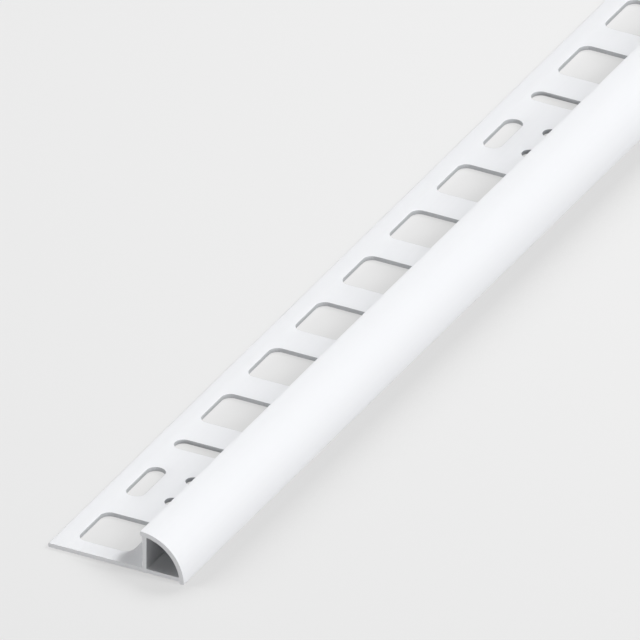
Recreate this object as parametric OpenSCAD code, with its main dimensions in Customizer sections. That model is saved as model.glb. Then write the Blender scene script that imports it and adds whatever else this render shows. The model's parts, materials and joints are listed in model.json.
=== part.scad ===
// Quarter-round tile edge trim: one length of white extruded plastic with a punched flange.
// The flange lies in the adhesive under the tiles, the web stops the tile's edge, and the
// hollow rounded face finishes the corner. X runs across the trim, Y along it and Z up.
// The origin is on the floor, under the middle of the trim.

/* [Profile] */
// Length of the cut piece
length = 1000; // [200:1:3000]
// Height from the underside of the flange to the top of the rounded face
height = 9.1; // [7:0.1:14]
// Width of the flange, from its free edge to the tile side of the web
flange_w = 20.75; // [18:0.05:40]
// Thickness of the flange
flange_t = 0.9; // [0.6:0.1:2]
// Rounding of the flange's free edge
flange_edge_r = 0.3; // [0.1:0.05:0.3]
// Thickness of the web that stops the tile's edge
web_t = 0.9; // [0.6:0.1:2]
// Width of the rounded face, from the tile side of the web to the outside of its foot
face_w = 9.15; // [8:0.05:16]
// Thickness of the rounded face's wall
face_t = 0.95; // [0.6:0.05:1.5]
// Drop of the rounded face's foot below the underside of the flange
foot_drop = 0.45; // [0.1:0.05:1]
// Reach of the lip over the tile, past the web
lip_reach = 0.5; // [0.2:0.1:1.5]
// Thickness of the lip at its tip
lip_t = 0.85; // [0.5:0.05:1.5]
// Height of the cove that carries the lip down into the web
cove_h = 0.8; // [0.6:0.1:2]

/* [Mortar holes] */
// Size of a mortar hole across the flange
hole_w = 11.9; // [8:0.1:13]
// Size of a mortar hole along the trim
hole_l = 12; // [8:0.1:16]
// Corner radius of a mortar hole
hole_r = 2; // [0.5:0.1:3.5]
// Distance from the flange's free edge to the punched row
row_edge = 4.15; // [2:0.05:6]
// Distance from hole to hole within a group
hole_pitch = 19.8; // [17:0.1:20]
// Number of mortar holes in a group
holes_in_group = 6; // [2:1:6]
// Length of the punching tool's step, from one group to the next
punch_step = 150; // [150:1:300]
// Distance from the near end to the first mortar hole, which is the last of its group
first_hole_y = 10; // [10:0.5:100]
// Least plastic left between a cut end and a hole
end_margin = 2; // [1:0.5:10]

/* [Fixing holes] */
// Distance along the trim from the last mortar hole of a group to the nail slot
nail_offset = 19.5; // [18:0.1:22]
// Width of the nail slot
nail_slot_w = 3.9; // [3:0.1:6]
// Length of the nail slot along the trim
nail_slot_l = 12; // [8:0.1:14]
// Diameter of a round nail hole
nail_d = 3; // [2:0.1:4]
// Distance between the two round nail holes beside a slot
nail_spacing = 8.8; // [6:0.1:9]
// Distance from the flange's free edge to the round nail holes
nail_edge = 14.2; // [12:0.1:15]
// Distance along the trim from the last mortar hole of a group to the cross slot
cross_offset = 35.5; // [34:0.1:37]
// Size of the cross slot along the trim
cross_slot_l = 3.7; // [3:0.1:6]

/* [Hidden] */
$fn = 96;
plastic = "#f3f5f7";

// The outer face is one arc, level at the lip's tip and ending at the foot's outer corner
lip_x = flange_w - lip_reach;
arc_w = face_w + lip_reach;
arc_h = height + foot_drop;
arc_r = (arc_w * arc_w + arc_h * arc_h) / (2 * arc_h);
arc_z = height - arc_r;
arc_reach = max(arc_w, arc_z > -foot_drop ? arc_r : 0);
overall_w = lip_x + arc_reach;

// The cove is an arc that leaves the web upright and runs out at the lip's tip
cove_r = (cove_h * cove_h + lip_reach * lip_reach) / (2 * lip_reach);
cove_z = height - lip_t - cove_h;

// A cut reaches past the flange by this much on each side
cut_past = 1;

// Every step of the punching tool that can reach the trim, told by its group's last hole
steps = [for (k = [0 : ceil(length / punch_step) + 1]) first_hole_y + k * punch_step];
mortar_ys = [for (y = steps, i = [0 : holes_in_group - 1]) y - i * hole_pitch];
nail_ys = [for (y = steps) y + nail_offset];
cross_ys = [for (y = steps) y + cross_offset];

// The punch leaves out a hole that would break into a cut end
function whole(ys, size) =
    [for (y = ys) if (y - size / 2 >= end_margin && y + size / 2 <= length - end_margin) y];

// A disc about the centre of the rounded face
module face_disc(r) {
    translate([lip_x, arc_z]) circle(r);
}

// What lies inside the middle of the rounded face's wall
module inside_face() {
    intersection() {
        children();
        face_disc(arc_r - face_t / 2);
    }
}

// A rectangle with round corners, drawn about its centre
module rounded_rect(w, l, r) {
    square([w - 2 * r, l], center = true);
    square([w, l - 2 * r], center = true);
    for (x = [-1, 1], y = [-1, 1])
        translate([x * (w / 2 - r), y * (l / 2 - r)]) circle(r);
}

// A slot with half-round ends that runs along Y, drawn about its centre
module slot(w, l) {
    square([w, l - w], center = true);
    for (y = [-1, 1])
        translate([0, y * (l - w) / 2]) circle(w / 2);
}

// The flange in section, with its free edge rounded and its far edge under the rounded face
module flange_section() {
    r = min(flange_edge_r, flange_t / 3);
    translate([r, 0]) square([flange_w - r, flange_t]);
    translate([0, r]) square([r, flange_t - 2 * r]);
    for (z = [r, flange_t - r])
        translate([r, z]) circle(r);
    inside_face() translate([lip_x, 0]) square([arc_reach, flange_t]);
}

// The rounded face in section: a wall of even thickness from the web's tile side to the foot
module face_section() {
    intersection() {
        difference() {
            face_disc(arc_r);
            face_disc(arc_r - face_t);
        }
        translate([flange_w, -foot_drop]) square([arc_reach, arc_h]);
    }
}

// The lip in section: it reaches over the tile and runs down into the web in a cove
module lip_section() {
    difference() {
        intersection() {
            translate([lip_x, cove_z]) square([lip_reach + web_t, height - cove_z]);
            face_disc(arc_r);
        }
        translate([flange_w - cove_r, cove_z]) circle(cove_r);
    }
}

// The whole section, which the extrusion die gives
module section() {
    flange_section();
    inside_face() translate([flange_w, 0]) square([web_t, height]);
    face_section();
    lip_section();
}

// Everything that the punching tool takes out of the flange, seen from above
module punched_row() {
    row_x = row_edge + hole_w / 2;
    for (y = whole(mortar_ys, hole_l))
        translate([row_x, y]) rounded_rect(hole_w, hole_l, hole_r);
    for (y = whole(nail_ys, nail_slot_l)) {
        translate([row_edge + nail_slot_w / 2, y]) slot(nail_slot_w, nail_slot_l);
        for (side = [-1, 1])
            translate([nail_edge, y + side * nail_spacing / 2]) circle(d = nail_d);
    }
    for (y = whole(cross_ys, cross_slot_l))
        translate([row_x, y]) rotate(90) slot(cross_slot_l, hole_w);
}

module trim_profile() {
    color(plastic)
        translate([-overall_w / 2, -length / 2, foot_drop])
            difference() {
                translate([0, length, 0]) rotate([90, 0, 0]) linear_extrude(length) section();
                translate([0, 0, -cut_past]) linear_extrude(flange_t + 2 * cut_past) punched_row();
            }
}

trim_profile();
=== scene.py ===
# %% [markdown]
# # A quarter-round tile edge trim
# The object is one length of white plastic, pushed through a die and then punched along its
# flange. Four things make its looks: a hollow section with even walls, a row of crisp holes, a
# satin skin, and duller faces where a tool has cut it. Each step below says how the real thing
# comes about, how it could be drawn, and why it is drawn as it is.

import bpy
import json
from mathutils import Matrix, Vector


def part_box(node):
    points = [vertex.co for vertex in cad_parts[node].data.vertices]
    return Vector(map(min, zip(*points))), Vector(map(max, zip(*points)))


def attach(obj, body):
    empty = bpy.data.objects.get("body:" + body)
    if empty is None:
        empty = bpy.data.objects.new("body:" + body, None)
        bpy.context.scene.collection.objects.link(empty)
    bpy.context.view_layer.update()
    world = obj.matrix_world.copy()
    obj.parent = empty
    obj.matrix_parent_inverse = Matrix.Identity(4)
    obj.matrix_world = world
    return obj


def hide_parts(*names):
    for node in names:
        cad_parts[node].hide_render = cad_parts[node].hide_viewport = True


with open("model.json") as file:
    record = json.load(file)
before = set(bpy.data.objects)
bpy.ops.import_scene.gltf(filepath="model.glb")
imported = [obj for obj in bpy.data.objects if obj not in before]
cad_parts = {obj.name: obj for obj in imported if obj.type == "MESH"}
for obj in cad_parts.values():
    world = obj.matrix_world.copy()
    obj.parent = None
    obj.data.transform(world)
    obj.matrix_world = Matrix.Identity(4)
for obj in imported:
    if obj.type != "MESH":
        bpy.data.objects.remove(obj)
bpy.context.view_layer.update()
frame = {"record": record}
MM = 0.001
low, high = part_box("trim_profile")
print("the trim measures", [round(side / MM, 2) for side in high - low], "mm")

# %% The other modules that the steps use
import json
import math

import bpy
import numpy as np
from mathutils import Matrix, Vector
from mathutils.geometry import tessellate_polygon

print("Blender", bpy.app.version_string, "with numpy", np.__version__)

# %% [markdown]
# ## Sizes
# The sizes could all be typed in again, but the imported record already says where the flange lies,
# where the web stands and how large the nail holes are, because something is fastened there.
# Reading those places keeps the drawing on the solid. What no mount says, such as a wall or a
# corner, is written here once, at real size.

# %% Sizes of the section
mounts = {mount["name"]: mount for mount in frame["record"]["mounts"]}
flange_under = mounts["adhesive_bed"]["pos_m"][2]
flange_top = mounts["tile_bed"]["pos_m"][2]
web_x = mounts["tile_stop"]["pos_m"][0]
web_t = 0.9 * MM
face_t = 0.95 * MM
lip_reach = 0.5 * MM
lip_t = 0.85 * MM
cove_h = 0.8 * MM
flange_edge_r = 0.3 * MM
print("the flange is", round((flange_top - flange_under) / MM, 2), "mm thick")

# %% The two arcs that shape the section
# The outer face is one arc: level at the lip's tip, ending at the foot's outer corner
lip_x = web_x - lip_reach
arc_w = high.x - lip_x
arc_h = high.z - low.z
arc_r = (arc_w**2 + arc_h**2) / (2 * arc_h)
arc_mid = np.array([lip_x, high.z - arc_r])
wall_r = arc_r - face_t

# The cove is an arc that leaves the web upright and runs out at the lip's tip
cove_r = (cove_h**2 + lip_reach**2) / (2 * lip_reach)
cove_mid = np.array([web_x - cove_r, high.z - lip_t - cove_h])
print("the rounded face has a radius of", round(arc_r / MM, 2), "mm")

# %% Sizes of the punched row
hole_w = 11.9 * MM
hole_l = 12.0 * MM
hole_r = 2.0 * MM
row_edge = 4.15 * MM
hole_pitch = 19.8 * MM
holes_in_group = 6
first_hole = 10.0 * MM
end_margin = 2.0 * MM
cross_slot_l = 3.7 * MM
cross_offset = 35.5 * MM
nail_slots = mounts["nail_slots_near"]
nail_holes = mounts["nail_holes_near"]
punch_step = nail_slots["dims"]["spacing_y_mm"] * MM
nail_slot_w = 2 * nail_slots["dims"]["hole_r_mm"] * MM
nail_slot_l = nail_slots["dims"]["slot_length_mm"] * MM
nail_d = 2 * nail_holes["dims"]["hole_r_mm"] * MM
nail_spacing = nail_holes["dims"]["spacing_y_mm"] * MM
print("the punching tool steps", round(punch_step / MM, 1), "mm")

# %% [markdown]
# ## The section
# The die gives the trim its outline: a flat flange, a web, a rounded wall and a lip. It could be
# drawn as one polygon and extruded, but then every round would be as coarse as its fewest points.
# Here the outline is made of straight runs and arcs, each arc with as many points as it needs.
# No die leaves a knife edge, so each corner gets a small circle that touches both its sides.

# %% Arcs, and circles that touch them
QUARTER, HALF = math.pi / 2, math.pi
TINY = 1e-6 * MM


def arc(middle, radius, start, end, steps):
    """Points on a circle: the angle goes evenly from start to end, and each point is the middle
    plus the radius along that angle."""
    turn = np.linspace(start, end, steps + 1)
    return np.asarray(middle) + radius * np.stack([np.cos(turn), np.sin(turn)], axis=1)


def right_of(middle, reach, z):
    """The point to the right of a middle, at a given distance from it and at a given height: its
    way across is the third side of a right-angled triangle."""
    return np.array([middle[0] + math.sqrt(reach**2 - (z - middle[1])**2), z])


def above(middle, reach, x):
    """The point above a middle, at a given distance from it and at a given x, found likewise."""
    return np.array([x, middle[1] + math.sqrt(reach**2 - (x - middle[0])**2)])


def angle_of(point, middle=arc_mid):
    """Direction of a point as seen from a middle: the angle whose slope is rise over run."""
    return math.atan2(point[1] - middle[1], point[0] - middle[0])


def joined(*runs):
    """Runs put end to end, with a point that repeats the one before it left out."""
    points = np.concatenate(runs)
    step = np.hypot(*np.diff(points, axis=0).T)
    return points[np.concatenate([[True], step > TINY])]


face_over_web = above(arc_mid, arc_r, web_x)[1] - low.z
print("over the web the face is", round(face_over_web / MM, 2), "mm high")

# %% Outline of the rounded face
ROUND_STEPS = 28
SMALL_STEPS = 4
foot_r = 0.12 * MM
lip_top_r = 0.1 * MM
lip_low_r = 0.05 * MM
row_border = 1.0 * MM
row_left = low.x + row_edge - row_border
row_right = low.x + row_edge + hole_w + row_border

foot_in = right_of(arc_mid, wall_r + foot_r, low.z + foot_r)
foot_out = right_of(arc_mid, arc_r - foot_r, low.z + foot_r)
lip_top = above(arc_mid, arc_r - lip_top_r, lip_x + lip_top_r)
lip_low = above(cove_mid, cove_r + lip_low_r, lip_x + lip_low_r)
cove_start = angle_of(lip_low, cove_mid)
under_end = right_of(arc_mid, wall_r, flange_under)
face_run = joined(
    [(row_right, flange_under)],
    arc(arc_mid, wall_r, angle_of(under_end), angle_of(foot_in), 1),
    arc(foot_in, foot_r, angle_of(foot_in) + HALF, HALF + QUARTER, SMALL_STEPS),
    arc(foot_out, foot_r, -QUARTER, angle_of(foot_out), SMALL_STEPS),
    arc(arc_mid, arc_r, angle_of(foot_out), angle_of(lip_top), ROUND_STEPS),
    arc(lip_top, lip_top_r, angle_of(lip_top), HALF, SMALL_STEPS),
    arc(lip_low, lip_low_r, HALF, HALF + cove_start, SMALL_STEPS),
    arc(cove_mid, cove_r, cove_start, 0, SMALL_STEPS),
    [(web_x, flange_top), (row_right, flange_top)],
)
print(len(face_run), "points from the row, round the face and back")

# %% Outlines of the free edge and the chamber
WALL_STEPS = 16
chamber_r = 0.15 * MM
edge_x = low.x + flange_edge_r
edge_run = joined(
    [(row_left, flange_top)],
    arc((edge_x, flange_top - flange_edge_r), flange_edge_r, QUARTER, HALF, SMALL_STEPS),
    arc((edge_x, flange_under + flange_edge_r), flange_edge_r, HALF, HALF + QUARTER, SMALL_STEPS),
    [(row_left, flange_under)],
)

# The chamber goes round the other way, so that its faces look into the hollow
web_in = web_x + web_t
web_foot = (web_in + chamber_r, flange_top + chamber_r)
web_head = above(arc_mid, wall_r - chamber_r, web_in + chamber_r)
wall_foot = right_of(arc_mid, wall_r - chamber_r, flange_top + chamber_r)
chamber_run = joined(
    arc(web_foot, chamber_r, HALF + QUARTER, HALF, SMALL_STEPS),
    arc(web_head, chamber_r, HALF, angle_of(web_head), SMALL_STEPS),
    arc(arc_mid, wall_r, angle_of(web_head), angle_of(wall_foot), WALL_STEPS),
    arc(wall_foot, chamber_r, angle_of(wall_foot), -QUARTER, SMALL_STEPS),
    [(web_foot[0], flange_top)],
)
print(len(edge_run), "points round the free edge,", len(chamber_run), "round the chamber")

# %% [markdown]
# ## Where the holes are
# A punching tool comes down again and again as the trim moves on, so the holes repeat with its
# step: six mortar holes, a nail slot with two nail holes beside it, and a cross slot. Boolean cuts
# would do it, and leave ragged triangles round each hole. Instead the punched strip is shared out
# into cells, one for each cut-out, and a cell is drawn with its hole already in it.

# %% Centres along the trim
# A stroke is told by the last mortar hole of its group, and spare strokes reach past the far end
SPARE_STROKES = 2
stroke_count = math.ceil((high.y - low.y) / punch_step) + SPARE_STROKES
strokes = low.y + first_hole + punch_step * np.arange(stroke_count)
nail_offset = nail_holes["pos_m"][1] - strokes[0]


def whole(centres, size):
    """Keeps the centres whose hole stays clear of both cut ends by the end margin."""
    clear = size / 2 + end_margin
    return centres[(centres > low.y + clear) & (centres < high.y - clear)]


mortar_ys = whole((strokes[:, None] - hole_pitch * np.arange(holes_in_group)).ravel(), hole_l)
nail_ys = whole(strokes + nail_offset, nail_slot_l)
cross_ys = whole(strokes + cross_offset, cross_slot_l)
print(len(mortar_ys), "mortar holes,", len(nail_ys), "nail slots,", len(cross_ys), "cross slots")

# %% Cells along the trim
# Two cells meet halfway between the cut-outs that they hold
MORTAR, NAIL, CROSS = range(3)
cut_sizes = np.array([hole_l, nail_slot_l, cross_slot_l])
cut_ys = np.concatenate([mortar_ys, nail_ys, cross_ys])
cut_kinds = np.repeat([MORTAR, NAIL, CROSS], [len(mortar_ys), len(nail_ys), len(cross_ys)])
order = np.argsort(cut_ys)
cut_ys, cut_kinds = cut_ys[order], cut_kinds[order]
cut_ends = cut_ys + cut_sizes[cut_kinds] / 2
cut_starts = cut_ys - cut_sizes[cut_kinds] / 2
cell_ys = np.concatenate([[low.y], (cut_ends[:-1] + cut_starts[1:]) / 2, [high.y]])
print(len(cut_ys), "cells from", round(cell_ys[0], 3), "to", round(cell_ys[-1], 3), "m")

# %% [markdown]
# ## One cell with its hole
# A punched hole has a faintly rolled rim where the punch went in, a straight wall, and a sharper
# rim below. A bevel could round the rims afterwards, but they come along by themselves when the
# cell is one surface of two parameters: one goes round the hole, the other goes from the cell's
# border over the top to the rim, down the wall, and out along the underside to the border again.
# Cells share their border points, so they weld to each other and to the skin.

# %% Outline of any hole
EIGHTH = QUARTER / 2
TURN_WEIGHT = 12.0 * MM
MARKS_ACROSS, MARKS_ALONG = 12, 10


def hole_outline(width, length, radius, across, along):
    """Points round a rectangle with round corners, and the way out at each of them.

    Each of the four sides goes from the middle of one corner to the middle of the next. A point
    there is the side's straight run, up to where it has got, plus the corner radius along a
    direction that turns an eighth of a circle before the run and an eighth after it. Steps are even
    in a measure that adds the length gone to a weight times the angle turned, so that corners get
    more points than straights. A radius of half the shorter side makes a slot or a circle.
    """
    points, ways = [], []
    for side, steps in enumerate((along, across, along, across)):
        half_out, half_run = (width / 2, length / 2) if side % 2 == 0 else (length / 2, width / 2)
        corner = (radius + TURN_WEIGHT) * EIGHTH
        run = 2 * (half_run - radius)
        gone = np.linspace(0, 2 * corner + run, steps, endpoint=False)
        bend = np.clip(gone / corner, 0, 1) + np.clip((gone - corner - run) / corner, 0, 1) - 1
        facing = side * QUARTER
        turn = facing + bend * EIGHTH
        way = np.stack([np.cos(turn), np.sin(turn)], axis=1)
        slid = np.clip(gone - corner, 0, run) - run / 2
        out = np.array([math.cos(facing), math.sin(facing)])
        sideways = np.array([-math.sin(facing), math.cos(facing)])
        points.append((half_out - radius) * out + slid[:, None] * sideways + radius * way)
        ways.append(way)
    return np.concatenate(points), np.concatenate(ways)


mortar_rim, _ = hole_outline(hole_w, hole_l, hole_r, MARKS_ACROSS, MARKS_ALONG)
print("a mortar hole has", len(mortar_rim), "points round it")


# %% Border of a cell
def cell_border(xs, ys):
    """Points round a rectangle, in the order of the hole's outline: up its right side, back along
    the far one, down the left one and along the near one, at the marks given for X and Y."""
    right = np.stack([np.full(len(ys) - 1, xs[-1]), ys[:-1]], axis=1)
    far = np.stack([xs[:0:-1], np.full(len(xs) - 1, ys[-1])], axis=1)
    left = np.stack([np.full(len(ys) - 1, xs[0]), ys[:0:-1]], axis=1)
    near = np.stack([xs[:-1], np.full(len(xs) - 1, ys[0])], axis=1)
    return np.concatenate([right, far, left, near])


row_xs = np.linspace(row_left, row_right, MARKS_ACROSS + 1)
first_ys = np.linspace(cell_ys[0], cell_ys[1], MARKS_ALONG + 1)
print("its cell has", len(cell_border(row_xs, first_ys)), "points round its border")

# %% Heights of the rim and the wall
RIM_STEPS = 2
top_rim_r = 0.07 * MM
under_rim_r = 0.05 * MM
rim_turn = np.linspace(0, QUARTER, RIM_STEPS + 1)
wall_grow = np.concatenate([top_rim_r * (1 - np.sin(rim_turn)),
                            under_rim_r * (1 - np.sin(rim_turn[::-1]))])
wall_z = np.concatenate([flange_top - top_rim_r * (1 - np.cos(rim_turn)),
                         flange_under + under_rim_r * (1 - np.cos(rim_turn[::-1]))])
print("a hole's wall goes through heights", np.round(wall_z / MM, 2).tolist(), "mm")


# %% The cell as a grid
def punched_cell(xs, ys, centre, width, length, radius):
    """Grid of a cell and its hole: each row is one place round the hole. Along a row the point goes
    from the border on top, through outlines that are grown by the rim's roundness at the rim's
    heights, to the same border underneath. The first row comes again at the end to close it."""
    points, ways = hole_outline(width, length, radius, len(xs) - 1, len(ys) - 1)
    border = cell_border(xs, ys)[:, None, :]
    wall = (points + centre)[:, None, :] + wall_grow[None, :, None] * ways[:, None, :]
    flat = np.concatenate([border, wall, border], axis=1)
    heights = np.concatenate([[flange_top], wall_z, [flange_under]])
    tall = np.broadcast_to(heights[None, :, None], flat.shape[:2] + (1,))
    grid = np.concatenate([flat, tall], axis=2)
    return np.concatenate([grid, grid[:1]])


row_x = low.x + row_edge + hole_w / 2
first_cell = punched_cell(row_xs, first_ys, (row_x, cut_ys[0]), hole_w, hole_l, hole_r)
print("the first cell has", first_cell.shape[0], "rows of", first_cell.shape[1], "points")

# %% Every cell of the row
# A nail slot shares its length of the row with two nail holes, and each of them gets half of it
MARKS_TO_SLOT = 7
slot_xs, nail_xs = row_xs[:MARKS_TO_SLOT + 1], row_xs[MARKS_TO_SLOT:]
slot_x, nail_x = nail_slots["pos_m"][0], nail_holes["pos_m"][0]
middle = MARKS_ALONG // 2
large_cells, nail_cells, station_runs = [], [], [cell_ys[:1]]
for kind, y, start, end in zip(cut_kinds, cut_ys, cell_ys[:-1], cell_ys[1:]):
    ys = np.linspace(start, end, MARKS_ALONG + 1)
    station_runs.append(ys[1:])
    if kind == MORTAR:
        cell = punched_cell(row_xs, ys, (row_x, y), hole_w, hole_l, hole_r)
    elif kind == CROSS:
        cell = punched_cell(row_xs, ys, (row_x, y), hole_w, cross_slot_l, cross_slot_l / 2)
    else:
        cell = punched_cell(slot_xs, ys, (slot_x, y), nail_slot_w, nail_slot_l, nail_slot_w / 2)
        for half, shift in ((ys[:middle + 1], -nail_spacing / 2), (ys[middle:], nail_spacing / 2)):
            centre = (nail_x, y + shift)
            nail_cells.append(punched_cell(nail_xs, half, centre, nail_d, nail_d, nail_d / 2))
    large_cells.append(cell)
stations = np.concatenate(station_runs)
print(len(large_cells), "large holes and", len(nail_cells), "nail holes drawn in their cells")

# %% [markdown]
# ## Skin, ends and one mesh
# The skin is the section carried along the trim, with a station wherever a cell has a border
# point. A sawn end is flat, and could be filled in one go, but along the many points of the
# punched strip a filler leaves slivers without area. So the strip's end is a row of quads, and
# only the free edge and the rounded face, with its hollow left open, are filled. Everything is
# then welded by rounding each place to a tenth of a micrometre and keeping one point for each.


# %% Grids along the trim and across its ends
def carried(run):
    """A run of the outline carried along Y: each row of the grid is the whole run at a station."""
    grid = np.empty((len(stations), len(run), 3))
    grid[..., 0], grid[..., 1], grid[..., 2] = run[:, 0], stations[:, None], run[:, 1]
    return grid


def strip_end(y, first_z, second_z):
    """The punched strip cut across at y: a grid of two rows at the strip's marks, one for each
    height. Its quads look back along Y where the first height is the upper one."""
    grid = np.empty((2, len(row_xs), 3))
    grid[..., 0], grid[..., 1], grid[..., 2] = row_xs, y, np.array([[first_z], [second_z]])
    return grid


face_skin = carried(face_run)
print("the face's skin has", face_skin.shape[0], "rows of", face_skin.shape[1], "points")


# %% Filled parts of the ends
def filled_end(loops, y, outward):
    """An outline, with the loops that are left open in it, filled with triangles in the plane at y.
    The cross product of two sides of a triangle tells by its sign which way round it goes, and one
    that doesn't look outward along Y is turned over."""
    flat = np.concatenate(loops)
    corners = np.array(tessellate_polygon([[Vector((x, z, 0)) for x, z in loop] for loop in loops]))
    a, b, c = (flat[corners[:, i]] for i in range(3))
    turned = (b[:, 0] - a[:, 0]) * (c[:, 1] - a[:, 1]) - (b[:, 1] - a[:, 1]) * (c[:, 0] - a[:, 0])
    wrong = (turned > 0) != (outward < 0)
    corners[wrong] = corners[wrong][:, ::-1]
    return np.stack([flat[:, 0], np.full(len(flat), y), flat[:, 1]], axis=1), corners


# The chamber's last point is its first one again, and a loop closes by itself
face_loops = [face_run, chamber_run[:-1]]
ends = [filled_end(loops, y, outward)
        for loops in (face_loops, [edge_run])
        for y, outward in ((low.y, -1), (high.y, 1))]
print("the filled ends have", [len(corners) for _, corners in ends], "triangles")

# %% Sheets and their finishes
# A sheet is a grid with a finish for each of its columns, the same in every row
# Beside the skin, the finishes are greyer: wholly as painted shade in the hollow and the nail
# holes, partly on the other walls and the sawn ends
SKIN, HOLLOW_SHADE, PUNCHED_DULL_AND_SHADE, NAIL_WALL_SHADE, SAWN_DULL_AND_SHADE = range(5)
sheets = [(face_skin, np.full(len(face_run) - 1, SKIN)),
          (carried(edge_run), np.full(len(edge_run) - 1, SKIN)),
          (carried(chamber_run), np.full(len(chamber_run) - 1, HOLLOW_SHADE))]
for cells, wall_finish in ((large_cells, PUNCHED_DULL_AND_SHADE), (nail_cells, NAIL_WALL_SHADE)):
    cell_finish = np.array([SKIN] + [wall_finish] * (len(wall_z) - 1) + [SKIN])
    sheets += [(grid, cell_finish) for grid in cells]
sheets += [(grid, np.full(len(row_xs) - 1, SAWN_DULL_AND_SHADE))
           for grid in (strip_end(low.y, flange_top, flange_under),
                        strip_end(high.y, flange_under, flange_top))]
print(len(sheets), "sheets to put together")


# %% Number the points of all sheets and ends
def quads_of(grid, first):
    """Quads of a grid, by point number: down one row, along, back up, for each pair of rows."""
    at = first + np.arange(grid.shape[0] * grid.shape[1]).reshape(grid.shape[:2])
    return np.stack([at[:-1, :-1], at[1:, :-1], at[1:, 1:], at[:-1, 1:]], axis=2).reshape(-1, 4)


sizes = [grid.shape[0] * grid.shape[1] for grid, _ in sheets] + [len(flat) for flat, _ in ends]
firsts = np.cumsum([0] + sizes)
points = np.concatenate([grid.reshape(-1, 3) for grid, _ in sheets] + [flat for flat, _ in ends])
quads = np.concatenate([quads_of(grid, first) for (grid, _), first in zip(sheets, firsts)])
triangles = np.concatenate([corners + first
                            for (_, corners), first in zip(ends, firsts[len(sheets):])])
finishes = np.concatenate([np.tile(finish, len(grid) - 1) for grid, finish in sheets]
                          + [np.full(len(triangles), SAWN_DULL_AND_SHADE)])
print(len(points), "points before the weld")

# %% Weld it into one mesh
WELD = 1e-7
SHARP = math.radians(28)
places = np.round(points / WELD).astype(np.int64)
_, kept, weld = np.unique(places, axis=0, return_index=True, return_inverse=True)
weld = weld.ravel()
trim_mesh = bpy.data.meshes.new("white_trim")
trim_mesh.from_pydata(points[kept].tolist(), [], weld[quads].tolist() + weld[triangles].tolist())
trim_mesh.polygons.foreach_set("material_index", finishes.astype(np.int32))
trim_mesh.shade_smooth()
trim_mesh.set_sharp_from_angle(angle=SHARP)
trim = bpy.data.objects.new("white_trim", trim_mesh)
bpy.context.scene.collection.objects.link(trim)
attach(trim, "root")
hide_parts("trim_profile")
print("trim mesh:", len(kept), "points,", 2 * len(quads) + len(triangles), "triangles")

# %% [markdown]
# ## Plastic
# Extruded plastic isn't one flat white. The die draws faint lines along it, and the skin has a
# fine grain that breaks up the gloss. The hollow cools slowly and stays matt, and a punch or a saw
# leaves a rougher face. The hollow and the cut faces are also greyer than the skin. In the hollow
# and in the small nail holes that is painted shade; on the walls of the mortar holes and slots, and
# on the sawn end, it is partly the duller cut and partly painted shade. One material with painted
# masks could hold all that, but each face of the mesh already knows its finish, so there are five
# like materials. Their lines and grain are noise, one pulled out along the tool's way and one even,
# in node groups that each material uses at its own scale.


# %% Two node groups
def noise_group(name, detail):
    """A node group that puts out noise at Object coordinates times a scale for each axis."""
    group = bpy.data.node_groups.new(name, "ShaderNodeTree")
    group.interface.new_socket("Scale", in_out="INPUT", socket_type="NodeSocketVector")
    group.interface.new_socket("Marks", in_out="OUTPUT", socket_type="NodeSocketFloat")
    nodes, links = group.nodes, group.links
    inputs, outputs = nodes.new("NodeGroupInput"), nodes.new("NodeGroupOutput")
    place = nodes.new("ShaderNodeTexCoord")
    stretch = nodes.new("ShaderNodeVectorMath")
    stretch.operation = "MULTIPLY"
    noise = nodes.new("ShaderNodeTexNoise")
    noise.inputs["Scale"].default_value = 1
    noise.inputs["Detail"].default_value = detail
    links.new(place.outputs["Object"], stretch.inputs[0])
    links.new(inputs.outputs["Scale"], stretch.inputs[1])
    links.new(stretch.outputs["Vector"], noise.inputs["Vector"])
    links.new(noise.outputs["Fac"], outputs.inputs["Marks"])
    return group


LINE_DETAIL, GRAIN_DETAIL = 4, 2
tool_lines = noise_group("tool_lines", LINE_DETAIL)
fine_grain = noise_group("fine_grain", GRAIN_DETAIL)
print("node groups:", tool_lines.name, fine_grain.name)

# %% A white plastic with its own marks
PLASTIC_IOR = 1.53
RELIEF_DEPTH = 0.02 * MM


def white_plastic(name, lines, grain, pale, shade, gloss, relief):
    """A white plastic: lines mix the pale and the shaded white and move the roughness between the
    two values of gloss, and lines and grain together raise a very low relief."""
    material = bpy.data.materials.new(name)
    material.use_nodes = True
    nodes, links = material.node_tree.nodes, material.node_tree.links
    shader = nodes["Principled BSDF"]
    shader.inputs["IOR"].default_value = PLASTIC_IOR
    marks = {}
    for group, scale in ((tool_lines, lines), (fine_grain, (grain, grain, grain))):
        node = nodes.new("ShaderNodeGroup")
        node.node_tree = group
        node.inputs["Scale"].default_value = scale
        marks[group.name] = node.outputs["Marks"]
    tone = nodes.new("ShaderNodeMix")
    tone.data_type = "RGBA"
    tone.inputs["A"].default_value = (*pale, 1)
    tone.inputs["B"].default_value = (*shade, 1)
    links.new(marks["tool_lines"], tone.inputs["Factor"])
    links.new(tone.outputs["Result"], shader.inputs["Base Color"])
    rough = nodes.new("ShaderNodeMapRange")
    rough.inputs["To Min"].default_value, rough.inputs["To Max"].default_value = gloss
    links.new(marks["tool_lines"], rough.inputs["Value"])
    links.new(rough.outputs["Result"], shader.inputs["Roughness"])
    both = nodes.new("ShaderNodeMath")
    links.new(marks["tool_lines"], both.inputs[0])
    links.new(marks["fine_grain"], both.inputs[1])
    bump = nodes.new("ShaderNodeBump")
    bump.inputs["Strength"].default_value = relief
    bump.inputs["Distance"].default_value = RELIEF_DEPTH
    links.new(both.outputs["Value"], bump.inputs["Height"])
    links.new(bump.outputs["Normal"], shader.inputs["Normal"])
    return material


print("at full strength the relief is", round(RELIEF_DEPTH / MM, 3), "mm deep")

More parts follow.
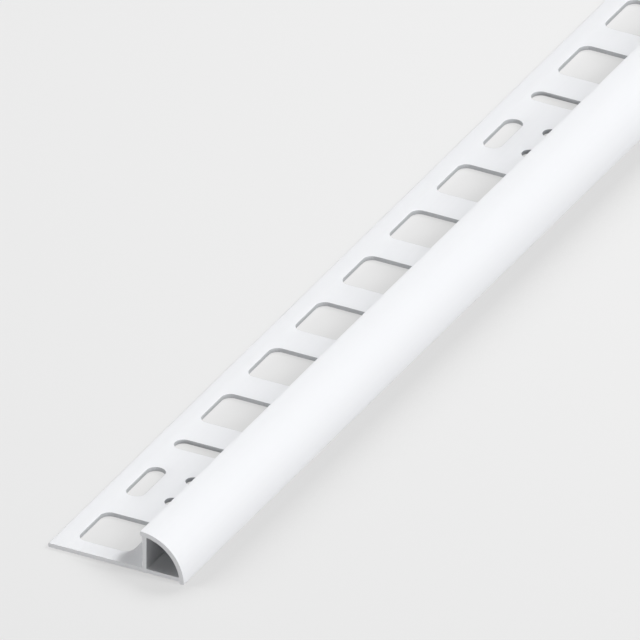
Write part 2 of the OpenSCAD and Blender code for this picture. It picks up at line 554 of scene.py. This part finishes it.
# %% Skin and hollow
# Lines and grain are in marks a metre, and the lines have a number for each axis
DIE_LINES = (1800, 9, 1800)
SKIN_GRAIN = 5200
skin = white_plastic("satin_white_skin", DIE_LINES, SKIN_GRAIN,
                     pale=(0.905, 0.915, 0.937), shade=(0.885, 0.895, 0.917),
                     gloss=(0.54, 0.66), relief=0.15)
# The hollow's greyer white is painted shade, for how little light reaches into it; its higher
# roughness is its matt finish
hollow_painted_shade = white_plastic("matt_core_skin", DIE_LINES, SKIN_GRAIN,
                     pale=(0.78, 0.79, 0.805), shade=(0.70, 0.71, 0.725),
                     gloss=(0.6, 0.7), relief=0.3)
print("skin and hollow:", skin.name, hollow_painted_shade.name)

# %% Faces that a tool has cut, greyer partly as painted shade
PUNCH_LINES = (2600, 2600, 260)
SAW_LINES = (300, 3000, 3000)
CUT_GRAIN = 7000
# The walls of the mortar holes and slots are greyer partly because they are cut, and mostly as
# painted shade inside the holes
punched = white_plastic("punched_wall", PUNCH_LINES, CUT_GRAIN,
                        pale=(0.54, 0.55, 0.565), shade=(0.48, 0.49, 0.505),
                        gloss=(0.5, 0.7), relief=0.4)
# The nail holes' walls are darker than the other holes' only as painted shade: so small a hole lets
# in little light
nail_hole_shade = white_plastic("pierced_wall", PUNCH_LINES, CUT_GRAIN,
                        pale=(0.36, 0.37, 0.385), shade=(0.30, 0.31, 0.325),
                        gloss=(0.6, 0.8), relief=0.4)
# The sawn end is a little greyer, partly because it is cut and partly as painted shade on a face
# turned from the main lights
sawn = white_plastic("sawn_end", SAW_LINES, CUT_GRAIN,
                     pale=(0.79, 0.795, 0.81), shade=(0.74, 0.745, 0.76),
                     gloss=(0.5, 0.7), relief=0.4)
for finish in (skin, hollow_painted_shade, punched, nail_hole_shade, sawn):
    trim_mesh.materials.append(finish)
print("materials:", [material.name for material in trim_mesh.materials])

# %% [markdown]
# ## Floor
# The trim lies on a plain pale floor with a painted pool of light: it is paler in a wide, soft
# patch round the trim. The foot holds the flange half a millimetre up, and lamps alone would draw
# that gap as hard black lines round every hole. So most of the floor's tone is its own, as on a
# light table, and its shade is soft: it comes from how much sky the trim hides, and grows towards
# the rounded face. The camera and reflections see the floor pale. All other rays find it greyer,
# because so much white bounced up from below would wash out the hollow and the walls of the holes.

# %% The floor's sheet
FLOOR_HALF = 6.0
floor_mesh = bpy.data.meshes.new("floor")
floor_corners = np.array([(-1, -1, 0), (1, -1, 0), (1, 1, 0), (-1, 1, 0)]) * FLOOR_HALF
floor_corners[:, 2] = low.z
floor_mesh.from_pydata(floor_corners.tolist(), [], [(0, 1, 2, 3)])
floor = bpy.data.objects.new("floor", floor_mesh)
bpy.context.scene.collection.objects.link(floor)
print("floor of", 2 * FLOOR_HALF, "m at height", round(low.z, 4))

# %% Its material, and a way to mix greys in it
pale_floor = bpy.data.materials.new("pale_floor")
pale_floor.use_nodes = True
floor_mesh.materials.append(pale_floor)
floor_nodes, floor_links = pale_floor.node_tree.nodes, pale_floor.node_tree.links
floor_shader = floor_nodes["Principled BSDF"]
floor_shader.inputs["Roughness"].default_value = 1
floor_shader.inputs["Specular IOR Level"].default_value = 0


def floor_mix(factor, first, second):
    """Mixes two greys by a factor: 0 gives the first, 1 the second. Each may be a number or the
    result of another mix."""
    mix = floor_nodes.new("ShaderNodeMix")
    mix.data_type = "RGBA"
    floor_links.new(factor, mix.inputs["Factor"])
    for socket, grey in ((mix.inputs["A"], first), (mix.inputs["B"], second)):
        if isinstance(grey, float):
            socket.default_value = (grey, grey, grey, 1)
        else:
            floor_links.new(grey, socket)
    return mix.outputs["Result"]


print("floor material:", pale_floor.name)

# %% A painted pool of light: a wide patch of paler floor
POOL_ACROSS, POOL_ALONG, POOL_R = 0.15, 0.31, 0.43
PAINTED_POOL_GREY, FAR_GREY = 0.93, 0.795
place = floor_nodes.new("ShaderNodeTexCoord")
to_pool = floor_nodes.new("ShaderNodeMapping")
to_pool.vector_type = "TEXTURE"
to_pool.inputs["Location"].default_value = (low.x + POOL_ACROSS, low.y + POOL_ALONG, low.z)
to_pool.inputs["Scale"].default_value = (POOL_R, POOL_R, POOL_R)
pool = floor_nodes.new("ShaderNodeTexGradient")
pool.gradient_type = "SPHERICAL"
floor_links.new(place.outputs["Object"], to_pool.inputs["Vector"])
floor_links.new(to_pool.outputs["Vector"], pool.inputs["Vector"])
floor_pale = floor_mix(pool.outputs["Fac"], FAR_GREY, PAINTED_POOL_GREY)
print("the pool reaches", POOL_R, "m")

# %% Shade where the trim hides the sky
# The shade is full where less than the first share of the sky is open, and ends at the second
SHADE_REACH = 20.0 * MM
SHADE_SAMPLES = 32
FULL_SHADE, NO_SHADE = 0.86, 0.96
SHADE_GREY = 0.71
hidden_sky = floor_nodes.new("ShaderNodeAmbientOcclusion")
hidden_sky.samples = SHADE_SAMPLES
hidden_sky.inputs["Distance"].default_value = SHADE_REACH
open_sky = floor_nodes.new("ShaderNodeMapRange")
open_sky.inputs["From Min"].default_value = FULL_SHADE
open_sky.inputs["From Max"].default_value = NO_SHADE
floor_links.new(hidden_sky.outputs["AO"], open_sky.inputs["Value"])
under_trim = floor_mix(open_sky.outputs["Result"], SHADE_GREY, floor_pale)
print("the shade reaches", round(SHADE_REACH / MM), "mm")

# %% Shade that grows towards the face
# The free edge is thin and well lit, so the shade begins at the punched row
SHADE_GROWS = 8.0 * MM
axes = floor_nodes.new("ShaderNodeSeparateXYZ")
towards_face = floor_nodes.new("ShaderNodeMapRange")
towards_face.inputs["From Min"].default_value = low.x + row_edge
towards_face.inputs["From Max"].default_value = low.x + row_edge + SHADE_GROWS
floor_links.new(place.outputs["Object"], axes.inputs["Vector"])
floor_links.new(axes.outputs["X"], towards_face.inputs["Value"])
floor_shaded = floor_mix(towards_face.outputs["Result"], floor_pale, under_trim)
print("it grows over", round(SHADE_GROWS / MM), "mm")

# %% What the camera sees, and what other rays find
BOUNCE_GREY = 0.45
ray = floor_nodes.new("ShaderNodeLightPath")
seen = ray.outputs["Is Camera Ray"]
for kind in ("Is Glossy Ray", "Is Transmission Ray"):
    either = floor_nodes.new("ShaderNodeMath")
    either.operation = "MAXIMUM"
    floor_links.new(seen, either.inputs[0])
    floor_links.new(ray.outputs[kind], either.inputs[1])
    seen = either.outputs["Value"]
floor_links.new(floor_mix(seen, BOUNCE_GREY, floor_shaded), floor_shader.inputs["Base Color"])
print("light bounces from a floor of grey", BOUNCE_GREY)

# %% The share of the floor's tone that needs no lamp
SELF_LIT = 0.82
share = floor_nodes.new("ShaderNodeMath")
share.operation = "MULTIPLY"
share.inputs[1].default_value = SELF_LIT
glow = floor_nodes.new("ShaderNodeEmission")
mixed = floor_nodes.new("ShaderNodeMixShader")
floor_links.new(seen, share.inputs[0])
floor_links.new(floor_shaded, glow.inputs["Color"])
floor_links.new(share.outputs["Value"], mixed.inputs["Fac"])
floor_links.new(floor_shader.outputs["BSDF"], mixed.inputs[1])
floor_links.new(glow.outputs["Emission"], mixed.inputs[2])
floor_links.new(mixed.outputs["Shader"], floor_nodes["Material Output"].inputs["Surface"])
print("the floor keeps", SELF_LIT, "of its tone in a shadow")

# %% [markdown]
# ## Light
# White on white shows only by its shading, so each light has its task. Lamps close by would do, but
# along a metre of trim they fall off, so all of them are as far away as the sun. A small high key
# draws the edge of the shadow that the face throws on the flange, and a broad lower one beside it
# models the round. A fill from behind lifts the flange, one from the left the web, and a low one
# from the front the sawn end. That last one is kept out of the gloss, because the flange would
# mirror it into a low view from the far end. A dim sky does the rest.


# %% The lights
def soft_sun(name, comes_from, level, spread, mirrored=True):
    """A light as far away as the sun, with a disc as wide as its spread in degrees. Its level is
    what a white surface that faces it sends back, where 1 is full white, and its energy is pi
    times that. One that isn't mirrored lights a surface without showing in its gloss."""
    lamp = bpy.data.lights.new(name, "SUN")
    lamp.energy = level * math.pi
    lamp.angle = math.radians(spread)
    sun = bpy.data.objects.new(name, lamp)
    sun.rotation_mode = "QUATERNION"
    sun.rotation_quaternion = Vector(comes_from).to_track_quat("Z", "Y")
    sun.visible_glossy = mirrored
    bpy.context.scene.collection.objects.link(sun)
    print(name, "from", comes_from, "at level", level)


soft_sun("high_key", comes_from=(0.555, 0.12, 0.82), level=0.44, spread=10)
soft_sun("side_key", comes_from=(0.73, 0.10, 0.68), level=0.43, spread=42)
soft_sun("back_fill", comes_from=(-0.45, 0.75, 0.49), level=0.27, spread=50)
soft_sun("left_fill", comes_from=(-0.97, -0.10, 0.20), level=0.18, spread=40)
soft_sun("front_fill", comes_from=(0.0, -0.99, 0.15), level=0.37, spread=16, mirrored=False)

# %% A dim sky, and tones as they are written
SKY_LEVEL = 0.08
sky = bpy.data.worlds.new("dim_sky")
bpy.context.scene.world = sky
sky.use_nodes = True
sky.node_tree.nodes["Background"].inputs["Color"].default_value = (1, 1, 1, 1)
sky.node_tree.nodes["Background"].inputs["Strength"].default_value = SKY_LEVEL
bpy.context.scene.view_settings.view_transform = "Standard"
print("the sky's level is", SKY_LEVEL)

# %% [markdown]
# ## Camera
# In the picture the holes keep their spacing from the near end to the far one, so it has no
# perspective. A long lens from far away would come close, and an orthographic camera has none at
# all. Its turn and tilt follow from how one millimetre along, across and up the trim shows in
# pixels, and the near free corner of the flange pins it in place.

# %% The camera
IMAGE_PX = 640
PX_PER_MM = 5.126
CORNER_PX = (48.1, 546.68)
TURN, TILT = math.radians(27.67), math.radians(30.74)
CAMERA_BACK = 2.0
NEAREST, FURTHEST = 0.01, 20
right = Vector((math.cos(TURN), math.sin(TURN), 0))
back = Vector((math.sin(TURN) * math.cos(TILT), -math.cos(TURN) * math.cos(TILT), math.sin(TILT)))
up = back.cross(right)
corner = Vector((low.x, low.y, flange_under))
over = (IMAGE_PX / 2 - CORNER_PX[0]) / PX_PER_MM * MM
over_up = (CORNER_PX[1] - IMAGE_PX / 2) / PX_PER_MM * MM
lens = bpy.data.cameras.new("camera")
lens.type = "ORTHO"
lens.ortho_scale = IMAGE_PX / PX_PER_MM * MM
lens.clip_start, lens.clip_end = NEAREST, FURTHEST
camera = bpy.data.objects.new("camera", lens)
stand = corner + right * over + up * over_up + back * CAMERA_BACK
camera.matrix_world = Matrix.Translation(stand) @ Matrix((right, up, back)).transposed().to_4x4()
bpy.context.scene.collection.objects.link(camera)
bpy.context.scene.camera = camera
print("the picture is", round(lens.ortho_scale / MM, 2), "mm wide")
